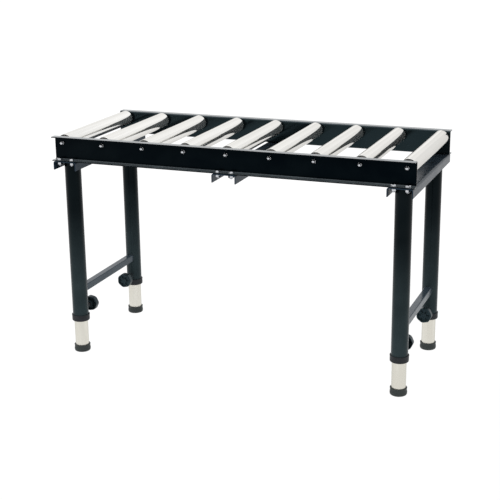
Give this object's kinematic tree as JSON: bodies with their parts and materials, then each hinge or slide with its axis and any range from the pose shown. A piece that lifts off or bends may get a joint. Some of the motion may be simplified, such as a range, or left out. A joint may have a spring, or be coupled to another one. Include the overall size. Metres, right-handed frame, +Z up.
{
  "type": "roller table",
  "caption": "Roller table: free-turning steel rollers in a row between channel rails, on telescopic round legs held by lobed lock knobs.",
  "frame": {"origin": "on the floor, under the middle of the table", "axes": "+X along the rails, to the right as seen from the front; +Y from the front rail to the rear rail; +Z up"},
  "size_m": [1, 0.432, 0.6295],
  "materials": {
    "black_paint": "smooth black gloss paint on pressed steel",
    "leg_paint": "dark grey-green semi-gloss paint on round steel tube",
    "roller_steel": "bright drawn steel tube, nearly polished",
    "bright_tube": "bright zinc plate, slightly warm",
    "zinc_plate": "bright zinc plate",
    "black_plastic": "moulded black plastic with a fine grain",
    "foot_rubber": "dark grey rubber"
  },
  "bodies": {
    "frame": {"front_rail": "black_paint", "rear_rail": "black_paint", "cross_channel_left": "black_paint", "cross_channel_middle": "black_paint", "cross_channel_right": "black_paint", "frame_bolt_front_1": "zinc_plate", "frame_bolt_front_2": "zinc_plate", "frame_bolt_front_3": "zinc_plate", "frame_bolt_front_4": "zinc_plate", "frame_bolt_front_5": "zinc_plate", "frame_bolt_front_6": "zinc_plate", "frame_bolt_rear_1": "zinc_plate", "frame_bolt_rear_2": "zinc_plate", "frame_bolt_rear_3": "zinc_plate", "frame_bolt_rear_4": "zinc_plate", "frame_bolt_rear_5": "zinc_plate", "frame_bolt_rear_6": "zinc_plate", "roller_axle_1": "zinc_plate", "roller_axle_2": "zinc_plate", "roller_axle_3": "zinc_plate", "roller_axle_4": "zinc_plate", "roller_axle_5": "zinc_plate", "roller_axle_6": "zinc_plate", "roller_axle_7": "zinc_plate", "roller_axle_8": "zinc_plate", "roller_axle_9": "zinc_plate", "leg_tube_front_left": "leg_paint", "leg_tube_front_right": "leg_paint", "leg_tube_rear_left": "leg_paint", "leg_tube_rear_right": "leg_paint", "leg_brace_left": "leg_paint", "leg_brace_right": "leg_paint", "leg_collar_front_left": "black_plastic", "leg_collar_front_right": "black_plastic", "leg_collar_rear_left": "black_plastic", "leg_collar_rear_right": "black_plastic"},
    "turning_roller_1": {"roller_1": "roller_steel"},
    "turning_roller_2": {"roller_2": "roller_steel"},
    "turning_roller_3": {"roller_3": "roller_steel"},
    "turning_roller_4": {"roller_4": "roller_steel"},
    "turning_roller_5": {"roller_5": "roller_steel"},
    "turning_roller_6": {"roller_6": "roller_steel"},
    "turning_roller_7": {"roller_7": "roller_steel"},
    "turning_roller_8": {"roller_8": "roller_steel"},
    "turning_roller_9": {"roller_9": "roller_steel"},
    "leg_front_left": {"inner_leg_front_left": "bright_tube", "foot_cap_front_left": "foot_rubber"},
    "leg_front_right": {"inner_leg_front_right": "bright_tube", "foot_cap_front_right": "foot_rubber"},
    "leg_rear_left": {"inner_leg_rear_left": "bright_tube", "foot_cap_rear_left": "foot_rubber"},
    "leg_rear_right": {"inner_leg_rear_right": "bright_tube", "foot_cap_rear_right": "foot_rubber"},
    "knob_front_left": {"lock_knob_front_left": "black_plastic"},
    "knob_front_right": {"lock_knob_front_right": "black_plastic"},
    "knob_rear_left": {"lock_knob_rear_left": "black_plastic"},
    "knob_rear_right": {"lock_knob_rear_right": "black_plastic"}
  },
  "joints": [
    {"name": "roller_1_spin", "type": "hinge", "parent": "frame", "child": "turning_roller_1", "pos_m": [-0.476, 0, 0.6085], "axis": [0, 1, 0], "continuous": true},
    {"name": "roller_2_spin", "type": "hinge", "parent": "frame", "child": "turning_roller_2", "pos_m": [-0.357, 0, 0.6085], "axis": [0, 1, 0], "continuous": true},
    {"name": "roller_3_spin", "type": "hinge", "parent": "frame", "child": "turning_roller_3", "pos_m": [-0.238, 0, 0.6085], "axis": [0, 1, 0], "continuous": true},
    {"name": "roller_4_spin", "type": "hinge", "parent": "frame", "child": "turning_roller_4", "pos_m": [-0.119, 0, 0.6085], "axis": [0, 1, 0], "continuous": true},
    {"name": "roller_5_spin", "type": "hinge", "parent": "frame", "child": "turning_roller_5", "pos_m": [0, 0, 0.6085], "axis": [0, 1, 0], "continuous": true},
    {"name": "roller_6_spin", "type": "hinge", "parent": "frame", "child": "turning_roller_6", "pos_m": [0.119, 0, 0.6085], "axis": [0, 1, 0], "continuous": true},
    {"name": "roller_7_spin", "type": "hinge", "parent": "frame", "child": "turning_roller_7", "pos_m": [0.238, 0, 0.6085], "axis": [0, 1, 0], "continuous": true},
    {"name": "roller_8_spin", "type": "hinge", "parent": "frame", "child": "turning_roller_8", "pos_m": [0.357, 0, 0.6085], "axis": [0, 1, 0], "continuous": true},
    {"name": "roller_9_spin", "type": "hinge", "parent": "frame", "child": "turning_roller_9", "pos_m": [0.476, 0, 0.6085], "axis": [0, 1, 0], "continuous": true},
    {"name": "leg_front_left_slide", "type": "slide", "parent": "frame", "child": "leg_front_left", "axis": [0, 0, -1], "range_m": [-0.07, 0.28]},
    {"name": "leg_front_right_slide", "type": "slide", "parent": "frame", "child": "leg_front_right", "axis": [0, 0, -1], "range_m": [-0.07, 0.28]},
    {"name": "leg_rear_left_slide", "type": "slide", "parent": "frame", "child": "leg_rear_left", "axis": [0, 0, -1], "range_m": [-0.07, 0.28]},
    {"name": "leg_rear_right_slide", "type": "slide", "parent": "frame", "child": "leg_rear_right", "axis": [0, 0, -1], "range_m": [-0.07, 0.28]},
    {"name": "knob_front_left_turn", "type": "hinge", "parent": "frame", "child": "knob_front_left", "pos_m": [-0.4635, -0.111, 0.1221], "axis": [0, 1, 0], "range_deg": [0, 720]},
    {"name": "knob_front_right_turn", "type": "hinge", "parent": "frame", "child": "knob_front_right", "pos_m": [0.4635, -0.111, 0.1221], "axis": [0, 1, 0], "range_deg": [0, 720]},
    {"name": "knob_rear_left_turn", "type": "hinge", "parent": "frame", "child": "knob_rear_left", "pos_m": [-0.4635, 0.111, 0.1221], "axis": [0, -1, 0], "range_deg": [0, 720]},
    {"name": "knob_rear_right_turn", "type": "hinge", "parent": "frame", "child": "knob_rear_right", "pos_m": [0.4635, 0.111, 0.1221], "axis": [0, -1, 0], "range_deg": [0, 720]}
  ]
}
